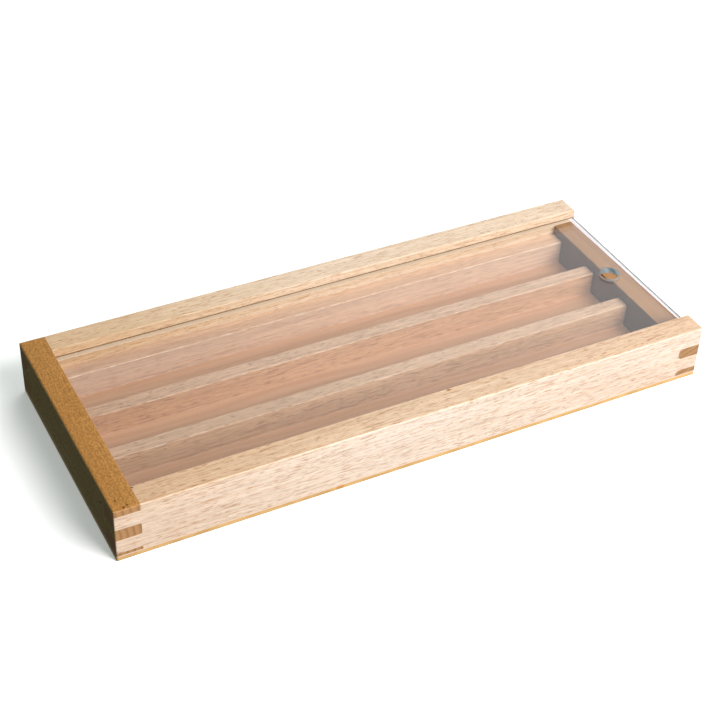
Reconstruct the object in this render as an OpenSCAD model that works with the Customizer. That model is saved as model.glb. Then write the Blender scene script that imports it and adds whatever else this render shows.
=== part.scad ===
// A shallow brush box: a finger-jointed wooden frame on a thin plywood base,
// with three long compartments and a clear lid that slides out at the right end.
// The front faces -Y, the lid slides out along +X, and the origin is at the
// middle of the underside.

/* [Box] */
// Length of the box, along the grain of its long boards
box_l = 360; // [240:1:480]
// Width of the box
box_w = 150; // [120:1:240]
// Height of the box, from the ground to the top of its front board
box_h = 34.5; // [31:0.5:60]
// Thickness of the four boards of the frame
board_t = 14.5; // [12:0.5:20]
// Thickness of the plywood base
base_t = 3.5; // [3:0.5:6]
// Radius of the sanded outer edges
edge_r = 0.9; // [0.3:0.1:1.4]
// Radius of the sanded edges inside the box
inner_edge_r = 0.5; // [0.2:0.1:1]

/* [Sliding lid] */
// Thickness of the clear lid
lid_t = 4; // [3:0.5:5]
// Height of the wood above the lid's groove
lip_h = 5.6; // [4:0.2:7]
// Depth of the groove in the boards
groove_depth = 5; // [3:0.5:7]
// Play between the lid and the groove, above and below
lid_play = 0.3; // [0.3:0.05:0.5]
// Play between the lid's edges and the bottom of the groove
lid_edge_play = 0.4; // [0.3:0.05:0.8]
// Radius of the polished edges of the lid
lid_edge_r = 0.3; // [0.1:0.05:0.5]
// Diameter of the finger hole
hole_d = 12.2; // [8:0.2:20]
// Distance from the lid's open end to the middle of the finger hole
hole_inset = 13.4; // [11:0.2:40]

/* [Compartments] */
// Thickness of each divider
divider_t = 9; // [5:0.5:12]
// Height of each divider above the base
divider_h = 14.5; // [8:0.5:16]
// Width of the rail along each long board
rail_w = 10.5; // [6:0.5:14]
// Height of each rail above the base
rail_h = 15.3; // [8:0.1:16]

/* [Finger joints] */
// Height of each finger of the end boards
finger_h = 7; // [5:0.5:9]
// Distance from one finger to the next
finger_pitch = 16; // [12:0.5:20]
// Height of the middle of one finger at the left end
left_finger_z = 17.9; // [15:0.1:22]
// Height of the middle of one finger at the right end
right_finger_z = 19.4; // [15:0.1:22]
// Radius of the fingers' inner corners at the left end
left_finger_r = 0.8; // [0.3:0.1:2]
// Radius of the fingers' inner corners at the right end
right_finger_r = 2.5; // [0.3:0.1:3]
// Width of the glue line round each finger
glue_gap = 0.05; // [0.02:0.01:0.1]

/* [Hidden] */
$fn = 64;

// How far a cutting solid runs past the surface that it cuts
past = 1;

// Heights of the lid, its groove and the low end board
groove_top = box_h - lip_h;
lid_top = groove_top - lid_play;
lid_bottom = lid_top - lid_t;
groove_bottom = lid_bottom - lid_play;
low_end_top = groove_bottom;

// Space inside the four boards
inner_l = box_l - 2 * board_t;
inner_w = box_w - 2 * board_t;

// Plan of the groove, which is open at the right end
groove_edge = board_t - groove_depth;

// Size and place of the lid
lid_edge = groove_edge + lid_edge_play;
lid_l = box_l - lid_edge;
lid_w = box_w - 2 * lid_edge;

// Two dividers, spaced so that the three compartments are equally wide
compartments = 3;
dividers = compartments - 1;
compartment_w = (inner_w - 2 * rail_w - dividers * divider_t) / compartments;
divider_step = compartment_w + divider_t;

// Rows of fingers, enough for any height of the box
finger_rows = ceil(box_h / finger_pitch);

// Wood and acrylic colours
beech = [0.87, 0.71, 0.55];
dark_beech = [0.70, 0.48, 0.27];
plywood = [0.84, 0.66, 0.42];
inner_beech = [0.83, 0.64, 0.50];
acrylic = [0.85, 0.93, 0.92, 0.35];

// Moves what is drawn from the box's lower front left corner to the part's own origin
module from_corner() {
    translate([-box_l / 2, -box_w / 2, 0]) children();
}

// Rectangle with rounded corners
module rounded_rectangle(size, r) {
    translate([r, 0]) square([size[0] - 2 * r, size[1]]);
    translate([0, r]) square([size[0], size[1] - 2 * r]);
    for (x = [r, size[0] - r], y = [r, size[1] - r]) translate([x, y]) circle(r);
}

// Block whose twelve edges are rounded
module eased_block(size, r) {
    intersection() {
        linear_extrude(size[2]) rounded_rectangle([size[0], size[1]], r);
        translate([0, size[1], 0]) rotate([90, 0, 0])
            linear_extrude(size[1]) rounded_rectangle([size[0], size[2]], r);
        rotate([90, 0, 90]) linear_extrude(size[0]) rounded_rectangle([size[1], size[2]], r);
    }
}

// Bar along X with a flat underside and two rounded top edges
module eased_bar(size, r) {
    rotate([90, 0, 90]) linear_extrude(size[0]) {
        square([size[1], size[2] - r]);
        translate([r, 0]) square([size[1] - 2 * r, size[2]]);
        for (y = [r, size[1] - r]) translate([y, size[2] - r]) circle(r);
    }
}

// What sanding takes off an upper right edge that passes through the origin
module edge_waste(length, r) {
    linear_extrude(length) difference() {
        translate([-r, -r]) square(r + past);
        translate([-r, -r]) circle(r);
    }
}

// Waste of an edge along X, rounded towards +Y
module edge_waste_x(length, r) {
    rotate([90, 0, 90]) edge_waste(length, r);
}

// Waste of an edge along Y, rounded towards +X
module edge_waste_y(length, r) {
    translate([0, length, 0]) rotate([90, 0, 0]) edge_waste(length, r);
}

// The part of the whole box's eased block between two heights and two edges
module frame_block(from, to) {
    intersection() {
        eased_block([box_l, box_w, box_h], edge_r);
        translate(from) cube(to - from);
    }
}

// Outline of one finger seen from the front, from the end of the box inwards
module finger_outline(r, gap) {
    length = board_t + gap;
    height = finger_h + 2 * gap;
    corner = r + gap;
    translate([-past, -height / 2]) square([length + past - corner, height]);
    translate([0, corner - height / 2]) square([length, height - 2 * corner]);
    for (side = [-1, 1])
        translate([length - corner, side * (height / 2 - corner)]) circle(corner);
}

// Every finger at one end, right through the width of the box, up to the end board's top
module fingers(z, r, top, gap) {
    intersection() {
        for (row = [-finger_rows : finger_rows])
            translate([0, box_w + past, z + row * finger_pitch]) rotate([90, 0, 0])
                linear_extrude(box_w + 2 * past) finger_outline(r, gap);
        translate([-past, -past, base_t - past])
            cube([board_t + 2 * past, box_w + 2 * past, top + gap - base_t + past]);
    }
}

// Fingers of the tall left end board
module left_fingers(gap) {
    fingers(left_finger_z, left_finger_r, box_h + past, gap);
}

// Fingers of the low right end board
module right_fingers(gap) {
    translate([box_l, 0, 0]) mirror([1, 0, 0])
        fingers(right_finger_z, right_finger_r, low_end_top, gap);
}

// The lid's groove in the front, back and left end boards
module lid_groove() {
    translate([groove_edge, groove_edge, groove_bottom])
        cube([box_l, box_w - 2 * groove_edge, groove_top - groove_bottom]);
}

// Long board with its slots for the fingers of both end boards, as the front one
module long_board() {
    difference() {
        frame_block([0, 0, base_t], [box_l, board_t, box_h]);
        left_fingers(glue_gap);
        right_fingers(glue_gap);
        lid_groove();
        translate([board_t, board_t, box_h]) edge_waste_x(box_l, inner_edge_r);
    }
}

module front_board() {
    color(beech) from_corner() long_board();
}

module back_board() {
    color(beech) from_corner()
        translate([0, box_w, 0]) mirror([0, 1, 0]) long_board();
}

// Full-height end board, which the lid meets when it is closed
module left_end_board() {
    color(dark_beech) from_corner() difference() {
        union() {
            frame_block([0, board_t, base_t], [board_t, box_w - board_t, box_h]);
            intersection() {
                frame_block([0, 0, base_t], [board_t, box_w, box_h]);
                left_fingers(0);
            }
        }
        lid_groove();
        translate([board_t, board_t, box_h]) edge_waste_y(inner_w, inner_edge_r);
    }
}

// Low end board, which the lid slides out over
module right_end_board() {
    inner_x = box_l - board_t;
    color(dark_beech) from_corner() difference() {
        union() {
            frame_block([inner_x, board_t, base_t], [box_l, box_w - board_t, low_end_top]);
            intersection() {
                frame_block([inner_x, 0, base_t], [box_l, box_w, low_end_top]);
                right_fingers(0);
            }
        }
        translate([box_l, board_t, low_end_top]) edge_waste_y(inner_w, inner_edge_r);
        translate([inner_x, 0, low_end_top]) mirror([1, 0, 0])
            translate([0, board_t, 0]) edge_waste_y(inner_w, inner_edge_r);
    }
}

// Thin base, glued under the whole frame
module base_panel() {
    color(plywood) from_corner() frame_block([0, 0, 0], [box_l, box_w, base_t]);
}

// Rail that fills the corner between a long board and the base
module rail() {
    translate([board_t, board_t, base_t]) eased_bar([inner_l, rail_w, rail_h], inner_edge_r);
}

module front_rail() {
    color(inner_beech) from_corner() rail();
}

module rear_rail() {
    color(inner_beech) from_corner() translate([0, box_w, 0]) mirror([0, 1, 0]) rail();
}

// Divider after the given compartment, counted from the front
module divider(place) {
    translate([board_t, board_t + rail_w + place * divider_step - divider_t, base_t])
        eased_bar([inner_l, divider_t, divider_h], inner_edge_r);
}

module front_divider() {
    color(inner_beech) from_corner() divider(1);
}

module rear_divider() {
    color(inner_beech) from_corner() divider(2);
}

// Clear lid with its finger hole
module sliding_lid() {
    color(acrylic) from_corner() difference() {
        translate([lid_edge, lid_edge, lid_bottom]) eased_block([lid_l, lid_w, lid_t], lid_edge_r);
        translate([box_l - hole_inset, box_w / 2, lid_bottom - past])
            cylinder(h = lid_t + 2 * past, d = hole_d);
    }
}

front_board();
back_board();
left_end_board();
right_end_board();
base_panel();
front_rail();
rear_rail();
front_divider();
rear_divider();
sliding_lid();
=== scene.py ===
"""Looks of a beech brush box with three long compartments and a clear sliding lid."""

import math

import bpy
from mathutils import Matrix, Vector


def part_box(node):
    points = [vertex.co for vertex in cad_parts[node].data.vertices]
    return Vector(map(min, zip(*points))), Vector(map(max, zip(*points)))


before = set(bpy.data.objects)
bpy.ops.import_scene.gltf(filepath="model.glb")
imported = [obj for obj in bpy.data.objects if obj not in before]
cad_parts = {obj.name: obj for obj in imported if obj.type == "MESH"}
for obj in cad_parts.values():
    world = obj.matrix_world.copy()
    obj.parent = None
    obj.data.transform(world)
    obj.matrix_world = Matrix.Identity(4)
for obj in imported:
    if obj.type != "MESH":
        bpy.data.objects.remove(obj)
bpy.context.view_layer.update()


# Camera, at the photograph's angle

CAMERA_PLACE = (-0.3463, -0.6280, 0.5873)
CAMERA_TURN = (51.450, -1.895, -27.089)
CAMERA_LENS = 79.77
CAMERA_SENSOR = 36.0
CAMERA_NEAREST = 0.01
CAMERA_FARTHEST = 50.0


def add_camera():
    data = bpy.data.cameras.new("camera")
    data.lens = CAMERA_LENS
    data.sensor_width = CAMERA_SENSOR
    data.clip_start = CAMERA_NEAREST
    data.clip_end = CAMERA_FARTHEST
    camera = bpy.data.objects.new("camera", data)
    camera.location = CAMERA_PLACE
    camera.rotation_euler = [math.radians(angle) for angle in CAMERA_TURN]
    bpy.context.scene.collection.objects.link(camera)
    bpy.context.scene.camera = camera


# Node trees

# Numbers of the mix node's sockets for colours: the factor, both colours and the result
MIX_INPUTS = (0, 6, 7)
MIX_RESULT = 2

# Middle of every noise, and how a dash's size and soft edge follow from its cell
NOISE_MIDDLE = 0.5
SMALLEST_DASH = 0.35
DASH_EDGE = (1.0, 0.45)


class Shading:
    """One node tree. Each method adds nodes and returns the socket that holds their result."""

    def __init__(self, tree):
        self.tree = tree

    def plug(self, socket, value):
        """Links a socket to another, or sets its value."""
        if isinstance(value, bpy.types.NodeSocket):
            self.tree.links.new(value, socket)
        elif socket.type == "RGBA" and len(value) == 3:
            socket.default_value = (*value, 1.0)
        else:
            socket.default_value = value

    def node(self, kind, inputs=(), **settings):
        """Adds a node with its settings and its inputs, which are (name or number, value) pairs."""
        node = self.tree.nodes.new(kind)
        for name, value in settings.items():
            setattr(node, name, value)
        for name, value in inputs:
            self.plug(node.inputs[name], value)
        return node

    def math(self, operation, a, b=0.0, c=0.0):
        """One operation on up to three values."""
        inputs = ((0, a), (1, b), (2, c))
        return self.node("ShaderNodeMath", inputs, operation=operation).outputs[0]

    def vector(self, operation, a, b=(0.0, 0.0, 0.0)):
        """One operation on vectors. A dot product or a length comes out as a single value."""
        node = self.node("ShaderNodeVectorMath", ((0, a), (1, b)), operation=operation)
        return node.outputs["Value" if operation in ("DOT_PRODUCT", "LENGTH") else "Vector"]

    def axes(self, vector):
        """The three parts of a vector."""
        return self.node("ShaderNodeSeparateXYZ", ((0, vector),)).outputs

    def join(self, x, y, z):
        """A vector made of three parts."""
        return self.node("ShaderNodeCombineXYZ", ((0, x), (1, y), (2, z))).outputs[0]

    def fade(self, value, low, high, at_low=0.0, at_high=1.0, kind="SMOOTHSTEP"):
        """Smooth step of a value between two limits, from one result to another."""
        inputs = (("Value", value), ("From Min", low), ("From Max", high),
                  ("To Min", at_low), ("To Max", at_high))
        return self.node("ShaderNodeMapRange", inputs, interpolation_type=kind).outputs["Result"]

    def stir(self, noise, reach, base):
        """A base value that a noise between 0 and 1 moves up and down by half its reach."""
        return self.math("MULTIPLY_ADD", self.math("SUBTRACT", noise, NOISE_MIDDLE), reach, base)

    def mix(self, factor, a, b):
        """Mixes two colours."""
        node = self.node("ShaderNodeMix", data_type="RGBA")
        for number, value in zip(MIX_INPUTS, (factor, a, b)):
            self.plug(node.inputs[number], value)
        return node.outputs[MIX_RESULT]

    def shade(self, colour, level):
        """Makes a colour darker or lighter."""
        return self.vector("MULTIPLY", colour, self.join(level, level, level))

    def tint(self, mask, colour, tint):
        """Tints a colour where a mask is 1."""
        return self.mix(mask, colour, self.vector("MULTIPLY", colour, tint))

    def noise(self, vector, stretch, detail=2.0, colour=False):
        """Noise between 0 and 1 whose grains are stretch long along each axis."""
        scaled = self.vector("DIVIDE", vector, stretch)
        inputs = (("Vector", scaled), ("Scale", 1.0), ("Detail", detail))
        node = self.node("ShaderNodeTexNoise", inputs)
        return node.outputs["Color" if colour else "Fac"]

    def bend(self, place, stretch, reach):
        """Bends straight grain in waves that are stretch long and a reach wide along each axis."""
        middle = (NOISE_MIDDLE, NOISE_MIDDLE, NOISE_MIDDLE)
        push = self.vector("SUBTRACT", self.noise(place, stretch, colour=True), middle)
        return self.vector("ADD", place, self.vector("MULTIPLY", push, reach))

    def cells(self, vector, stretch, place):
        """Scattered cells of a size along each axis: the distance to a seed, and its random colour."""
        scaled = self.vector("DIVIDE", self.vector("ADD", vector, place), stretch)
        node = self.node("ShaderNodeTexVoronoi", (("Vector", scaled), ("Scale", 1.0)))
        return node.outputs["Distance"], node.outputs["Color"]

    def dashes(self, vector, stretch, place, reach):
        """Short spindles along X, one in each scattered cell: their mask, and a random tone for each."""
        distance, random = self.cells(vector, stretch, place)
        size = self.math("MULTIPLY_ADD", self.axes(random)[0], reach, reach * SMALLEST_DASH)
        ratio = self.math("DIVIDE", distance, size)
        return self.fade(ratio, *DASH_EDGE), self.axes(random)[1]


def new_material(name):
    """A new material, its shader and a Shading of its tree."""
    material = bpy.data.materials.new(name)
    material.use_nodes = True
    shader = material.node_tree.nodes["Principled BSDF"]
    return material, shader, Shading(material.node_tree)


def finish_surface(s, shader, colour, rough, height, bump, relief):
    """Gives a shader its colour and roughness, and a bump of a strength from relief in metres."""
    inputs = (("Strength", bump), ("Distance", relief), ("Height", height))
    bumped = s.node("ShaderNodeBump", inputs)
    s.plug(shader.inputs["Base Color"], colour)
    s.plug(shader.inputs["Roughness"], rough)
    s.plug(shader.inputs["Normal"], bumped.outputs["Normal"])


# Places on a piece, in millimetres

MM = 1000.0
HALF_MM = 500.0
TO_MM = (MM, MM, MM)

# Soft edge of a pale edge strip, the grain of a mark's outline, and how far that moves it
STRIP_CORE = 0.1
MARK_GRAIN = (0.8, 0.8, 0.8)
MARK_RAGGED = 0.9
MARK_LEAST = 0.55
MARK_EDGE = (1.0, 0.5)

# Share of a seam's width that has its full shade
SEAM_CORE = 0.15


def object_place(s):
    """Place on the piece in millimetres, and its own normal."""
    coordinates = s.node("ShaderNodeTexCoord").outputs
    return s.vector("MULTIPLY", coordinates["Object"], TO_MM), coordinates["Normal"]


def edge_nearness(s, place, node, width):
    """1 on the outer edges of a node's box, fading to 0 at a width from them."""
    low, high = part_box(node)
    middle = [(low[i] + high[i]) * HALF_MM for i in range(3)]
    half = [(high[i] - low[i]) * HALF_MM for i in range(3)]
    inside = s.vector("SUBTRACT", s.vector("ABSOLUTE", s.vector("SUBTRACT", place, middle)), half)
    x, y, z = s.axes(inside)
    pairs = [s.math("MINIMUM", x, y), s.math("MINIMUM", y, z), s.math("MINIMUM", x, z)]
    second = s.math("MAXIMUM", s.math("MAXIMUM", pairs[0], pairs[1]), pairs[2])
    return s.fade(second, -width, -STRIP_CORE * width)


def paint_marks(s, place, colour, marks):
    """Paints marks over a colour. Each is a place, a size along each axis, a strength and a tone."""
    for centre, size, strength, tone in marks:
        offset = s.vector("DIVIDE", s.vector("SUBTRACT", place, centre), size)
        ragged = s.noise(place, MARK_GRAIN)
        reach = s.math("MULTIPLY_ADD", ragged, MARK_RAGGED, MARK_LEAST)
        mask = s.fade(s.math("DIVIDE", s.vector("LENGTH", offset), reach), *MARK_EDGE, 0.0, strength)
        colour = s.mix(mask, colour, tone)
    return colour


def seam_shade(s, parts, seam):
    """1 away from a seam, down to its shade along it. A seam is an axis, a place, a width and a shade."""
    axis, at, width, shade = seam
    gap = s.math("ABSOLUTE", s.math("SUBTRACT", parts[axis], at))
    return s.fade(gap, SEAM_CORE * width, width, shade, 1.0)


# Wood

# A plain beech board. Each piece changes what differs on it. Sizes are in millimetres,
# along the grain and across it. The tints are painted light and shade: on faces that look up,
# on faces that look outwards to the left, and on the left and right parts of a long piece.
BEECH = {
    "along": "X",
    "seed": (0.0, 0.0, 0.0),
    "pale": (0.735, 0.615, 0.475),
    "deep": (0.655, 0.515, 0.365),
    "streak_strength": 0.35,
    "ring_centre": (0.0, 46.0, -38.0),
    "ring_width": 2.6,
    "ring_strength": 0.22,
    "line": (0.44, 0.245, 0.13),
    "line_strength": 0.68,
    "line_stretch": (7.8, 0.64, 0.64),
    "mottle": 0.0,
    "fleck": (0.37, 0.19, 0.095),
    "fleck_strength": 0.80,
    "fleck_stretch": (5.2, 0.95, 0.70),
    "end": (0.40, 0.245, 0.125),
    "painted_top_shading": (1.0, 1.0, 1.0),
    "painted_left_face_light": (1.0, 1.0, 1.0),
    "painted_left_shade": (1.0, 1.0, 1.0),
    "painted_right_shade": (1.0, 1.0, 1.0),
    # The edge colour is partly rubbed wood and partly a painted highlight
    "edge": (0.82, 0.70, 0.55),
    "edge_wear_and_highlight_strength": 0.25,
    "marks": (),
    "joint_shades": (),
    "roughness": 0.44,
    "specular": 0.4,
    "bump": 0.35,
}

# Sizes of the grain's features, along the grain and across it
ACROSS_GRAIN = (0.0, 1.0, 1.0)
BEND_SIZE = (70.0, 12.0, 12.0)
BEND_REACH = (0.0, 3.0, 3.0)
STREAK_SIZE = (150.0, 2.6, 2.6)
DRIFT_SIZE = (120.0, 26.0, 26.0)
FIBRE_SIZE = (3.4, 0.20, 0.20)
PATCH_SIZE = (40.0, 7.0, 7.0)
COMB_SIZE = (70.0, 0.9, 0.9)
MOTTLE_SIZE = (1.5, 0.75, 0.75)
MOTTLE_PLACE = (5.0, 5.0, 5.0)
PORE_SIZE = (0.9, 0.34, 0.34)
PALE_EDGE_PATCH_SIZE = (5.0, 5.0, 1.6)
PALE_EDGE_WIDTH = 0.8

# Parts of the ground tone, which is 0 for pale wood and 1 for deep wood
MIDDLE_TONE = 0.42
STREAK_GAIN = 3.2
DRIFT_TONE = 0.9
YEAR_TONE = 0.30

# Soft steps: the two limits of a noise or a slope, and the results at both where they aren't 0 and 1
LATE_RISE = (0.35, 0.92)
LATE_FALL = (1.0, 0.93)
DARK_LINES = (0.55, 0.67)
LINE_PATCHES = (0.30, 0.62, 0.70, 1.0)
PALE_LINES = (0.42, 0.28, 0.0, 0.35)
MOTTLE_STEP = (0.15, 0.75)
COARSE_FLECKS = (0.15, 0.80, 0.10, 1.0)
FINE_FLECKS = (0.2, 1.0, 0.1, 0.62)
PALE_FLAKES = (0.3, 1.0, 0.0, 0.22)
FIBRE_SHADES = (0.30, 0.70, 0.93, 1.05)
COMB_SHADES = (0.32, 0.68, 0.91, 1.06)
PORE_SHADES = (0.30, 0.72, 0.80, 1.12)
PATCHY_PARTS = (0.42, 0.66)
FACING_UP = (0.55, 0.85)
FACING_LEFT = (-0.55, -0.85)
FACING_END = (0.60, 0.85)
LEFT_PART = (20.0, -170.0)
RIGHT_PART = (40.0, 170.0)
PART_DRIFT = 60.0

# Kinds of fleck: size against the piece's own, place of the pattern and reach in a cell
COARSE_FLECK = ((1.0, 1.0, 1.0), (0.0, 0.0, 0.0), 0.30)
FINE_FLECK = ((0.62, 0.62, 0.62), (3.0, 7.0, 5.0), 0.28)
FLAKE = ((1.7, 1.5, 1.5), (11.0, 2.0, 9.0), 0.34)

# Pale lines and flakes against the pale wood, the brightest that a line may be, and how much
# a mottle's middle lightens against what its rim darkens
PALE_LINE_LEVEL = 1.2
PALE_LINE_LIMIT = 0.92
FLAKE_LEVEL = 1.16
MOTTLE_LIFT = 0.8

# Roughness and relief: what a fleck, a fibre and end grain add
FLECK_ROUGH = 0.10
FIBRE_ROUGH = 0.16
END_ROUGH = 0.16
FLECK_HEIGHT = -0.8
FIBRE_HEIGHT = 0.9
PORE_HEIGHT = 0.6
RING_IN_END = -0.26
WOOD_RELIEF = 0.00006


def brighter(colour, level, limit=1.0):
    """A lighter tone of a colour, with no part over the limit."""
    return tuple(min(limit, level * value) for value in colour)


def growth_rings(s, spec, grain):
    """Late wood of the rings about the heart of the tree, and a random tone for each year."""
    from_heart = s.vector("MULTIPLY", s.vector("SUBTRACT", grain, spec["ring_centre"]), ACROSS_GRAIN)
    rings = s.math("DIVIDE", s.vector("LENGTH", from_heart), spec["ring_width"])
    phase = s.math("FRACT", rings)
    late = s.math("MULTIPLY", s.fade(phase, *LATE_RISE), s.fade(phase, *LATE_FALL))
    year = s.node("ShaderNodeTexWhiteNoise", (("W", s.math("FLOOR", rings)),), noise_dimensions="1D")
    return late, year.outputs["Value"]


def ground_colour(s, spec, grain, drift, late, year):
    """Pale and deep wood in long streaks and rings, with short dark and pale lines along the grain."""
    streak = s.noise(grain, STREAK_SIZE, detail=3.0)
    tone = s.stir(streak, spec["streak_strength"] * STREAK_GAIN, MIDDLE_TONE)
    tone = s.stir(drift, DRIFT_TONE, tone)
    tone = s.stir(year, YEAR_TONE, tone)
    tone = s.math("MULTIPLY_ADD", late, spec["ring_strength"], tone)
    colour = s.mix(s.fade(tone, 0.0, 1.0), spec["pale"], spec["deep"])

    lines = s.noise(grain, spec["line_stretch"], detail=1.0)
    patch = s.noise(grain, PATCH_SIZE)
    dark_line = s.math("MULTIPLY", s.fade(lines, *DARK_LINES), s.fade(patch, *LINE_PATCHES))
    colour = s.mix(s.math("MULTIPLY", dark_line, spec["line_strength"]), colour, spec["line"])
    lighter = brighter(spec["pale"], PALE_LINE_LEVEL, PALE_LINE_LIMIT)
    colour = s.mix(s.fade(lines, *PALE_LINES), colour, lighter)

    distance = s.cells(grain, MOTTLE_SIZE, MOTTLE_PLACE)[0]
    mottle = spec["mottle"]
    level = s.fade(distance, *MOTTLE_STEP, 1.0 + MOTTLE_LIFT * mottle, 1.0 - mottle)
    return s.shade(colour, level)


def fleck_pattern(s, spec, grain, kind):
    """Mask and random tone of one kind of fleck."""
    against, place, reach = kind
    stretch = tuple(size * share for size, share in zip(spec["fleck_stretch"], against))
    return s.dashes(grain, stretch, place, reach)


def add_flecks(s, spec, grain, colour):
    """Flecks of the rays in two sizes, and pale flakes between them. The flecks' mask comes back too."""
    coarse, coarse_tone = fleck_pattern(s, spec, grain, COARSE_FLECK)
    fine, fine_tone = fleck_pattern(s, spec, grain, FINE_FLECK)
    flake, flake_tone = fleck_pattern(s, spec, grain, FLAKE)
    fleck = s.math("MULTIPLY", coarse, s.fade(coarse_tone, *COARSE_FLECKS))
    fleck = s.math("MAXIMUM", fleck, s.math("MULTIPLY", fine, s.fade(fine_tone, *FINE_FLECKS)))
    flake = s.math("MULTIPLY", flake, s.fade(flake_tone, *PALE_FLAKES))
    colour = s.mix(flake, colour, brighter(spec["pale"], FLAKE_LEVEL))
    return s.mix(s.math("MULTIPLY", fleck, spec["fleck_strength"]), colour, spec["fleck"]), fleck


def wood(name, node, **changes):
    """Beech with growth rings, ray flecks along the grain, fibres, painted light and shade by facing and
    by part, and pale edges that are partly rubbed and partly a painted highlight.
    """
    spec = {**BEECH, **changes}
    material, shader, s = new_material(name)
    place, normal = object_place(s)
    parts = s.axes(place)
    x, y, z = parts
    along_x = spec["along"] == "X"
    turned = place if along_x else s.join(y, x, z)
    grain = s.bend(s.vector("ADD", turned, spec["seed"]), BEND_SIZE, BEND_REACH)
    drift = s.noise(grain, DRIFT_SIZE, detail=1.0)
    fibre = s.noise(grain, FIBRE_SIZE, detail=3.0)
    comb = s.noise(grain, COMB_SIZE)
    late, year = growth_rings(s, spec, grain)

    colour = ground_colour(s, spec, grain, drift, late, year)
    colour, fleck = add_flecks(s, spec, grain, colour)
    colour = s.shade(colour, s.math("MULTIPLY", s.fade(fibre, *FIBRE_SHADES), s.fade(comb, *COMB_SHADES)))

    # Painted light and shade on faces that look up or outwards to the left, and painted shade on the
    # board's left and right parts
    facing = s.axes(normal)
    colour = s.tint(s.fade(facing[2], *FACING_UP), colour, spec["painted_top_shading"])
    colour = s.tint(s.fade(facing[0], *FACING_LEFT), colour, spec["painted_left_face_light"])
    drifting = s.stir(drift, PART_DRIFT, x)
    colour = s.tint(s.fade(drifting, *LEFT_PART), colour, spec["painted_left_shade"])
    colour = s.tint(s.fade(drifting, *RIGHT_PART), colour, spec["painted_right_shade"])

    # End grain, with fine pores and the rings as lines
    end = s.fade(s.math("ABSOLUTE", facing[0 if along_x else 1]), *FACING_END)
    pores = s.noise(grain, PORE_SIZE)
    end_tone = s.math("MULTIPLY_ADD", late, RING_IN_END, s.fade(pores, *PORE_SHADES))
    colour = s.mix(end, colour, s.shade(spec["end"], end_tone))

    # Pale edges, partly rubbed and partly a painted highlight, single marks, and painted corner shade
    # over the dark joints where pieces meet
    patchy = s.fade(s.noise(place, PALE_EDGE_PATCH_SIZE, detail=3.0), *PATCHY_PARTS)
    wear_and_highlight = s.math("MULTIPLY", edge_nearness(s, place, node, PALE_EDGE_WIDTH), patchy)
    colour = s.mix(s.math("MULTIPLY", wear_and_highlight, spec["edge_wear_and_highlight_strength"]), colour, spec["edge"])
    colour = paint_marks(s, place, colour, spec["marks"])
    for seam in spec["joint_shades"]:
        colour = s.shade(colour, seam_shade(s, parts, seam))

    # Satin finish
    rough = s.math("MULTIPLY_ADD", fleck, FLECK_ROUGH, spec["roughness"])
    rough = s.stir(fibre, FIBRE_ROUGH, rough)
    rough = s.math("MULTIPLY_ADD", end, END_ROUGH, rough)
    height = s.math("MULTIPLY_ADD", fleck, FLECK_HEIGHT, s.math("MULTIPLY", fibre, FIBRE_HEIGHT))
    height = s.math("MULTIPLY_ADD", s.math("MULTIPLY", pores, end), PORE_HEIGHT, height)
    finish_surface(s, shader, colour, rough, height, spec["bump"], WOOD_RELIEF)
    shader.inputs["Specular IOR Level"].default_value = spec["specular"]
    return material


# Plywood

PLY_PALE = (0.635, 0.38, 0.22)
PLY_DEEP = (0.535, 0.29, 0.155)
PLY_FLECK = (0.30, 0.16, 0.09)
PLY_CORE = (0.74, 0.58, 0.43)
PLY_STREAK = (0.66, 0.37, 0.20)
PLY_LOWER = (0.64, 0.42, 0.17)

# Heights from the underside in millimetres: top of the lower ply, its blur, its waves, its glue line
PLY_LOWER_TOP = 2.6
PLY_BLUR = 0.12
PLY_WAVE = 0.5
PLY_SEAM = 0.16
PLY_SEAM_CORE = 0.03
PLY_SEAM_STRENGTH = 0.45
UNDERSIDE_TOP = 1.0

# Sizes of the veneer's features
PLY_SEED = (61.0, 13.0, 29.0)
PLY_BEND_SIZE = (60.0, 18.0, 18.0)
PLY_BEND_REACH = (0.0, 9.0, 0.0)
PLY_STREAK_SIZE = (160.0, 3.4, 30.0)
PLY_FIBRE_SIZE = (3.0, 0.22, 0.5)
PLY_FLECK_SIZE = (4.2, 0.85, 3.0)
PLY_FLECK_PLACE = (0.0, 0.0, 0.0)
PLY_FLECK_REACH = 0.25
PLY_FLECK_STRENGTH = 0.45
PLY_WAVE_SIZE = (22.0, 22.0, 1.0)
PLY_BLOTCH_SIZE = (9.0, 9.0, 2.0)
PLY_CORE_SIZE = (1.4, 1.4, 0.25)

# Tones and soft steps of the veneer and the edges
PLY_STREAK_TONE = 1.9
PLY_MIDDLE_TONE = 0.45
PLY_FLECK_TONES = (0.3, 1.0, 0.1, 0.6)
PLY_CORE_LINES = (0.40, 0.75, 0.0, 0.45)
PLY_BLOTCHES = (0.3, 0.7)
PLY_BLOTCH_SHADES = ((1.1, 0.84), (1.08, 0.80), (1.05, 0.72))

# Roughness and relief
PLY_ROUGH = 0.56
PLY_FIBRE_ROUGH = 0.2
PLY_FLECK_HEIGHT = -0.7
PLY_FIBRE_HEIGHT = 0.8
PLY_BUMP = 0.3


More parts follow.
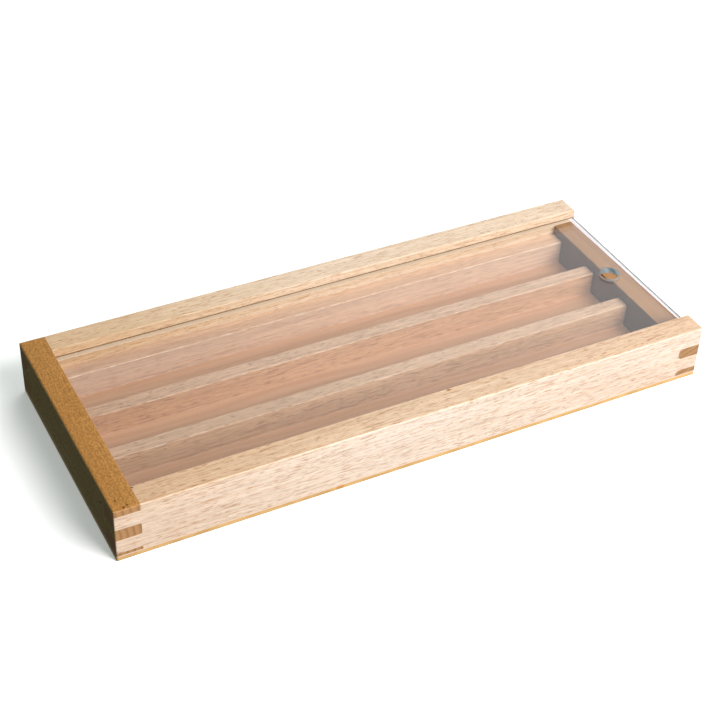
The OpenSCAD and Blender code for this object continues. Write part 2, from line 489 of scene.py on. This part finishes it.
def plywood(name, joint_shades, marks):
    """Three-ply: smooth veneer above and below, and on its edges a pale core over an amber lower ply."""
    material, shader, s = new_material(name)
    place, normal = object_place(s)
    parts = s.axes(place)
    z = parts[2]
    grain = s.bend(s.vector("ADD", place, PLY_SEED), PLY_BEND_SIZE, PLY_BEND_REACH)
    streak = s.noise(grain, PLY_STREAK_SIZE, detail=4.0)
    fibre = s.noise(grain, PLY_FIBRE_SIZE, detail=3.0)
    tone = s.stir(streak, PLY_STREAK_TONE, PLY_MIDDLE_TONE)
    face = s.mix(s.fade(tone, 0.0, 1.0), PLY_PALE, PLY_DEEP)
    fleck, fleck_tone = s.dashes(grain, PLY_FLECK_SIZE, PLY_FLECK_PLACE, PLY_FLECK_REACH)
    fleck = s.math("MULTIPLY", fleck, s.fade(fleck_tone, *PLY_FLECK_TONES))
    face = s.mix(s.math("MULTIPLY", fleck, PLY_FLECK_STRENGTH), face, PLY_FLECK)

    # Edges, ply by ply
    level = s.stir(s.noise(place, PLY_WAVE_SIZE), PLY_WAVE, z)
    lower = s.fade(level, PLY_LOWER_TOP + PLY_BLUR, PLY_LOWER_TOP - PLY_BLUR)
    blotch = s.noise(place, PLY_BLOTCH_SIZE, detail=3.0)
    blotches = [s.fade(blotch, *PLY_BLOTCHES, *shades) for shades in PLY_BLOTCH_SHADES]
    amber = s.vector("MULTIPLY", PLY_LOWER, s.join(*blotches))
    core_line = s.noise(place, PLY_CORE_SIZE)
    core = s.mix(s.fade(core_line, *PLY_CORE_LINES), PLY_CORE, PLY_STREAK)
    edge_colour = s.mix(lower, core, amber)
    from_seam = s.math("ABSOLUTE", s.math("SUBTRACT", level, PLY_LOWER_TOP))
    line = s.fade(from_seam, PLY_SEAM, PLY_SEAM_CORE, 0.0, PLY_SEAM_STRENGTH)
    edge_colour = s.mix(line, edge_colour, PLY_FLECK)
    edge_colour = paint_marks(s, place, edge_colour, marks)

    # Painted corner shade over the dark joints where the floor meets the end boards, on the upper face
    # only
    underside = s.math("LESS_THAN", z, UNDERSIDE_TOP)
    for seam in joint_shades:
        face = s.shade(face, s.math("MAXIMUM", seam_shade(s, parts, seam), underside))
    flat = s.fade(s.math("ABSOLUTE", s.axes(normal)[2]), *FACING_UP)
    colour = s.mix(flat, edge_colour, face)

    rough = s.stir(fibre, PLY_FIBRE_ROUGH, PLY_ROUGH)
    height = s.math("MULTIPLY_ADD", fleck, PLY_FLECK_HEIGHT, s.math("MULTIPLY", fibre, PLY_FIBRE_HEIGHT))
    finish_surface(s, shader, colour, rough, height, PLY_BUMP, WOOD_RELIEF)
    return material


# Clear acrylic

ACRYLIC_TINT = (0.975, 0.992, 0.988)
LIGHT_THROUGH = (0.90, 0.915, 0.91)
SAWN_TINT = (0.90, 0.90, 0.97)
SAWN_SHADE = 0.9
HOLE_TINT = (0.30, 0.43, 0.47)
RIM_TINT = (0.05, 0.13, 0.11)
ACRYLIC_IOR = 1.49

# Sizes in millimetres: the dark rim, the sanded band under the open end, and where the hole lies
RIM_WIDTH = 1.3
RIM_CORE = 0.6
BAND_NARROW = 1.0
BAND_WIDE = 2.6
BAND_RAGGED = 0.5
BAND_HEIGHT = 0.5
HOLE_REACH = 9.0
HOLE_FROM_END = 2.0
RAGGED_SIZE = (0.6, 3.0, 1.0)
SAW_SIZE = (0.5, 0.5, 6.0)
WIPE_SIZE = (60.0, 3.0, 3.0)
SCRATCH_SIZE = (18.0, 0.25, 1.0)

# Soft steps of the sheet's faces and marks
SIDE_FACES = (0.75, 0.45)
SAW_LINES = (0.3, 0.7)
WIPE_ROUGH = (0.35, 0.75, 0.0, 0.006)
SCRATCHES = (0.62, 0.80)

# Roughness, clearness and relief: what frosted parts, the hole's wall and the band change
FROST_ROUGH = 0.5
HOLE_ROUGH = -0.2
HOLE_CLOUD = -0.35
BAND_CLOUD = -0.75
SAW_HEIGHT = 3.0
ACRYLIC_BUMP = 0.05
ACRYLIC_RELIEF = 0.00003


def acrylic(name, node):
    """Clear sheet with faint wipe marks, sawn edges, and a sanded band and a dark rim at its open end."""
    material, shader, s = new_material(name)
    place, normal = object_place(s)
    low, high = [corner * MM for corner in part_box(node)]
    x, y, z = s.axes(place)
    side = s.fade(s.math("ABSOLUTE", s.axes(normal)[2]), *SIDE_FACES)
    to_end = s.math("SUBTRACT", high[0], x)
    to_top = s.math("SUBTRACT", high[2], z)
    rim = s.fade(s.math("ADD", to_end, to_top), RIM_WIDTH, RIM_CORE * RIM_WIDTH)
    band_width = s.fade(y, low[1], high[1], BAND_NARROW, BAND_WIDE, kind="LINEAR")
    ragged = s.stir(s.noise(place, RAGGED_SIZE), BAND_RAGGED, to_end)
    low_down = s.math("LESS_THAN", z, low[2] + BAND_HEIGHT)
    band = s.math("MULTIPLY", s.math("LESS_THAN", ragged, band_width), low_down)
    in_hole = s.math("MULTIPLY", side, s.math("GREATER_THAN", to_end, HOLE_FROM_END))
    hole_wall = s.math("MULTIPLY", in_hole, s.math("LESS_THAN", s.math("ABSOLUTE", y), HOLE_REACH))
    frosted = s.math("MAXIMUM", side, band)

    saw_lines = s.noise(place, SAW_SIZE, detail=3.0)
    sawn = s.mix(s.fade(saw_lines, *SAW_LINES), SAWN_TINT, brighter(SAWN_TINT, SAWN_SHADE))
    colour = s.mix(frosted, ACRYLIC_TINT, sawn)
    colour = s.mix(hole_wall, colour, HOLE_TINT)
    colour = s.mix(rim, colour, RIM_TINT)

    rough = s.fade(s.noise(place, WIPE_SIZE, detail=3.0), *WIPE_ROUGH)
    rough = s.math("MULTIPLY_ADD", frosted, FROST_ROUGH, rough)
    rough = s.math("MULTIPLY_ADD", hole_wall, HOLE_ROUGH, rough)
    scratch = s.fade(s.noise(place, SCRATCH_SIZE), *SCRATCHES)
    height = s.math("MULTIPLY_ADD", side, s.math("MULTIPLY", saw_lines, SAW_HEIGHT), scratch)
    finish_surface(s, shader, colour, rough, height, ACRYLIC_BUMP, ACRYLIC_RELIEF)
    clear_part = s.math("MULTIPLY_ADD", band, BAND_CLOUD, 1.0)
    clear_part = s.math("MULTIPLY_ADD", hole_wall, HOLE_CLOUD, clear_part)
    s.plug(shader.inputs["Transmission Weight"], clear_part)
    shader.inputs["IOR"].default_value = ACRYLIC_IOR

    # Lamps shine through the sheet
    clear = s.node("ShaderNodeBsdfTransparent", (("Color", LIGHT_THROUGH),))
    is_shadow = s.node("ShaderNodeLightPath").outputs["Is Shadow Ray"]
    mixed = s.node("ShaderNodeMixShader", ((0, is_shadow), (1, shader.outputs[0]), (2, clear.outputs[0])))
    s.plug(material.node_tree.nodes["Material Output"].inputs["Surface"], mixed.outputs[0])
    return material


# Small marks: place and size in millimetres, strength, tone

SPECK = (0.09, 0.035, 0.012)
SOOT = (0.02, 0.015, 0.01)
CHIP = (0.90, 0.85, 0.75)
RUST = (0.50, 0.20, 0.04)
PITH = (0.27, 0.12, 0.03)
# Painted light, which lifts the shade on the groove's floor under the lip
GROOVE_PAINTED_LIGHT = (0.92, 0.74, 0.56)
LIP_SHADOW = (0.16, 0.09, 0.03)

# Length of a mark that runs along the whole board
WHOLE = 9000.0

FRONT_MARKS = (
    ((-164.9, -61.9, 34.5), (0.9, 0.8, 1.2), 0.9, SPECK),
    ((18.2, -61.9, 34.5), (1.9, 1.1, 1.4), 0.95, PITH),
)
LEFT_END_MARKS = (
    ((-175.9, -67.6, 34.5), (0.6, 1.5, 1.0), 0.85, SPECK),
    ((-173.8, -73.7, 34.5), (0.8, 1.2, 1.0), 0.90, SPECK),
    ((-171.5, -72.4, 34.5), (0.6, 1.0, 1.0), 0.85, SPECK),
    ((-180.0, -56.0, 25.5), (1.0, 1.3, 1.1), 0.95, SOOT),
    ((-180.0, -72.7, 29.7), (1.0, 0.9, 0.9), 0.90, CHIP),
)
# Painted light on the groove's floor, which lifts the shade under the lip, and the painted shadow line
# along the lower edge of the lip above it
BACK_MARKS = (
    ((0.0, 61.7, 24.3), (WHOLE, 2.4, 0.6), 0.85, GROOVE_PAINTED_LIGHT),
    ((0.0, 60.4, 28.9), (WHOLE, 0.8, 0.85), 0.95, LIP_SHADOW),
)
BASE_MARKS = (
    ((-53.7, -75.0, 1.8), (3.2, 1.0, 1.3), 0.7, RUST),
)

# Painted corner shade, over dark joints, where the inside pieces meet the two end boards: axis, place,
# width, shade
RIGHT_INNER_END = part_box("right_end_board")[0][0] * MM
LEFT_INNER_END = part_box("left_end_board")[1][0] * MM
END_JOINT_SHADES = ((0, RIGHT_INNER_END, 1.6, 0.30), (0, LEFT_INNER_END, 0.8, 0.6))


# Finishes of the pieces

# Pale edges of the pieces inside the box, partly sanded and partly a painted highlight, and what both
# rails and both dividers share
INNER_EDGE_WEAR_AND_HIGHLIGHT = (0.78, 0.62, 0.50)
RAIL_WOOD = {
    "pale": (0.636, 0.442, 0.31),
    "deep": (0.55, 0.349, 0.23),
    "line": (0.43, 0.242, 0.14),
    "edge": INNER_EDGE_WEAR_AND_HIGHLIGHT,
    "joint_shades": END_JOINT_SHADES,
}
DIVIDER_WOOD = {
    "line_strength": 0.9,
    "fleck_stretch": (4.6, 1.3, 1.0),
    "edge": INNER_EDGE_WEAR_AND_HIGHLIGHT,
    "edge_wear_and_highlight_strength": 0.55,
    "joint_shades": END_JOINT_SHADES,
}

# Name of each wooden piece's finish, and what differs from a plain beech board
# The tints on tops, on the left face and on the left and right parts are painted light and shade
WOODS = {
    "front_board": ("front_beech", {
        "pale": (0.772, 0.689, 0.589),
        "deep": (0.688, 0.577, 0.453),
        "painted_top_shading": (0.67, 0.57, 0.465),
        "painted_left_shade": (0.96, 0.88, 0.80),
        "painted_right_shade": (0.965, 0.915, 0.885),
        "marks": FRONT_MARKS,
    }),
    # Painted shade: the back board's colours are a little darker, for the shade on the lip's inner face
    "back_board": ("back_beech", {
        "seed": (210.0, 40.0, 70.0),
        "pale": (0.71, 0.572, 0.43),
        "deep": (0.63, 0.48, 0.33),
        "ring_centre": (0.0, 90.0, 120.0),
        "painted_top_shading": (0.86, 0.87, 0.88),
        "painted_left_shade": (0.87, 0.77, 0.63),
        "edge_wear_and_highlight_strength": 0.1,
        "marks": BACK_MARKS,
    }),
    "left_end_board": ("left_end_beech", {
        "along": "Y",
        "seed": (30.0, 5.0, 0.0),
        "pale": (0.36, 0.182, 0.056),
        "deep": (0.29, 0.136, 0.034),
        "streak_strength": 0.2,
        "ring_centre": (0.0, -320.0, 15.0),
        "ring_width": 3.9,
        "ring_strength": 0.06,
        "line": (0.25, 0.115, 0.03),
        "line_strength": 0.5,
        "line_stretch": (2.0, 0.7, 0.7),
        "mottle": 0.2,
        "fleck": (0.18, 0.085, 0.02),
        "fleck_strength": 0.25,
        "fleck_stretch": (1.9, 0.9, 0.9),
        "end": (0.45, 0.255, 0.115),
        # Painted light: a lighter, cooler left face
        "painted_left_face_light": (1.3, 2.1, 3.6),
        "edge": (0.42, 0.24, 0.09),
        "marks": LEFT_END_MARKS,
        "specular": 0.02,
    }),
    # Painted shade: the right end board's colours are darkened to about half, for its shaded inner face,
    # and its top tint paints its top back to full light
    "right_end_board": ("right_end_beech_painted_shade", {
        "along": "Y",
        "seed": (90.0, 35.0, 51.0),
        "pale": (0.20, 0.115, 0.06),
        "deep": (0.16, 0.085, 0.04),
        "streak_strength": 0.25,
        "ring_centre": (0.0, 260.0, -60.0),
        "ring_width": 3.8,
        "line": (0.13, 0.07, 0.035),
        "line_strength": 0.25,
        "line_stretch": (2.2, 0.7, 0.7),
        "mottle": 0.03,
        "fleck": (0.26, 0.145, 0.08),
        "fleck_strength": 0.18,
        "fleck_stretch": (2.6, 0.8, 1.0),
        "end": (0.40, 0.235, 0.115),
        "painted_top_shading": (2.05, 1.85, 1.5),
        "bump": 0.1,
    }),
    "front_rail": ("front_rail_beech", {
        **RAIL_WOOD,
        "seed": (33.0, 14.0, 90.0),
        "edge_wear_and_highlight_strength": 0.8,
    }),
    "rear_rail": ("rear_rail_beech", {
        **RAIL_WOOD,
        "seed": (71.0, 64.0, 30.0),
        "fleck_strength": 0.35,
        "painted_top_shading": (1.22, 1.18, 1.10),
        "painted_left_shade": (0.88, 0.86, 0.86),
        "edge_wear_and_highlight_strength": 0.9,
    }),
    "front_divider": ("front_divider_beech", {
        **DIVIDER_WOOD,
        "seed": (17.0, 44.0, 60.0),
        "pale": (0.60, 0.385, 0.235),
        "deep": (0.495, 0.30, 0.168),
        "line": (0.345, 0.19, 0.10),
        "fleck": (0.27, 0.14, 0.07),
        "fleck_strength": 0.9,
        "painted_top_shading": (1.15, 1.23, 1.37),
        "painted_left_shade": (0.95, 0.92, 0.90),
    }),
    "rear_divider": ("rear_divider_beech", {
        **DIVIDER_WOOD,
        "seed": (151.0, 84.0, 10.0),
        "pale": (0.585, 0.35, 0.205),
        "deep": (0.485, 0.272, 0.145),
        "line": (0.33, 0.17, 0.085),
        "fleck": (0.25, 0.125, 0.06),
        "fleck_strength": 0.85,
        "painted_top_shading": (1.24, 1.42, 1.68),
        "painted_left_shade": (0.90, 0.84, 0.79),
    }),
}


def finish_pieces():
    finishes = {node: wood(name, node, **changes) for node, (name, changes) in WOODS.items()}
    finishes["base_panel"] = plywood("base_plywood", END_JOINT_SHADES, BASE_MARKS)
    finishes["sliding_lid"] = acrylic("clear_acrylic", "sliding_lid")
    for node, material in finishes.items():
        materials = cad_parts[node].data.materials
        materials.clear()
        materials.append(material)


# Floor and studio light

FLOOR_HALF = 4.0
FLOOR_COLOUR = (0.90, 0.91, 0.90)
FLOOR_ROUGH = 0.9
FLOOR_GLOW = 0.28
BACKDROP = (1.0, 1.0, 1.0)
BACKDROP_LEVEL = 1.3
ROOM_GLOW = (0.02, 0.022, 0.024)

# Soft glow of the room: direction, sharpness of its edge, colour
GLOWS = (
    ((0.60, 0.54, 0.588), 11.0, (1.22, 1.25, 1.32)),
    ((0.22, -0.10, 1.0), 3.2, (0.52, 0.63, 0.59)),
    ((-1.0, -0.1, 0.2), 3.0, (0.17, 0.165, 0.145)),
)

# Lamps: name, place, size, power in watts, colour
LAMPS = (
    ("front_window", (0.38, -0.78, 0.70), 0.8, 26.5, (1.0, 0.93, 0.93)),
    ("back_window", (0.70, 0.80, 0.70), 0.8, 3.0, (1.0, 0.97, 0.92)),
)


def add_floor():
    """Plain paper. It takes the box's shadow, and throws no light or shade back on the box."""
    corners = [(-FLOOR_HALF, -FLOOR_HALF, 0), (FLOOR_HALF, -FLOOR_HALF, 0),
               (FLOOR_HALF, FLOOR_HALF, 0), (-FLOOR_HALF, FLOOR_HALF, 0)]
    mesh = bpy.data.meshes.new("floor")
    mesh.from_pydata(corners, [], [(0, 1, 2, 3)])
    floor = bpy.data.objects.new("floor", mesh)
    bpy.context.scene.collection.objects.link(floor)
    material, shader, s = new_material("floor_paper")
    s.plug(shader.inputs["Base Color"], FLOOR_COLOUR)
    s.plug(shader.inputs["Roughness"], FLOOR_ROUGH)
    s.plug(shader.inputs["Specular IOR Level"], 0.0)
    s.plug(shader.inputs["Emission Color"], FLOOR_COLOUR)
    s.plug(shader.inputs["Emission Strength"], FLOOR_GLOW)
    mesh.materials.append(material)
    floor.visible_diffuse = False
    floor.visible_glossy = False
    floor.visible_shadow = False


def add_lamps():
    """Square soft lamps that face the box. The lid shows no image of them."""
    for name, place, size, power, colour in LAMPS:
        data = bpy.data.lights.new(name, "AREA")
        data.shape = "SQUARE"
        data.size = size
        data.energy = power
        data.color = colour
        lamp = bpy.data.objects.new(name, data)
        lamp.location = place
        lamp.rotation_euler = Vector(place).to_track_quat("Z", "Y").to_euler()
        lamp.visible_transmission = False
        lamp.visible_glossy = False
        bpy.context.scene.collection.objects.link(lamp)


def add_room():
    """Broad soft glows from a few directions. The camera itself sees plain white."""
    world = bpy.data.worlds.new("room")
    world.use_nodes = True
    s = Shading(world.node_tree)
    background = world.node_tree.nodes["Background"]
    direction = s.node("ShaderNodeTexCoord").outputs["Generated"]
    glow = ROOM_GLOW
    for towards, sharpness, colour in GLOWS:
        facing = s.vector("DOT_PRODUCT", direction, Vector(towards).normalized())
        level = s.math("EXPONENT", s.math("MULTIPLY_ADD", facing, sharpness, -sharpness))
        glow = s.vector("ADD", glow, s.shade(colour, level))
    s.plug(background.inputs["Color"], glow)

    # Shadow rays already bring this light through the lid to the wood, so it isn't counted twice
    path = s.node("ShaderNodeLightPath").outputs
    from_wood = s.math("GREATER_THAN", path["Diffuse Depth"], 0.5)
    through_lid = s.math("MULTIPLY", path["Is Transmission Ray"], from_wood)
    s.plug(background.inputs["Strength"], s.math("SUBTRACT", 1.0, through_lid))

    seen = s.node("ShaderNodeBackground", (("Color", BACKDROP), ("Strength", BACKDROP_LEVEL)))
    inputs = ((0, path["Is Camera Ray"]), (1, background.outputs[0]), (2, seen.outputs[0]))
    mixed = s.node("ShaderNodeMixShader", inputs)
    output = world.node_tree.nodes["World Output"]
    s.plug(output.inputs["Surface"], mixed.outputs[0])
    bpy.context.scene.world = world
    bpy.context.scene.view_settings.view_transform = "Standard"


# Main

add_camera()
add_floor()
add_room()
add_lamps()
finish_pieces()
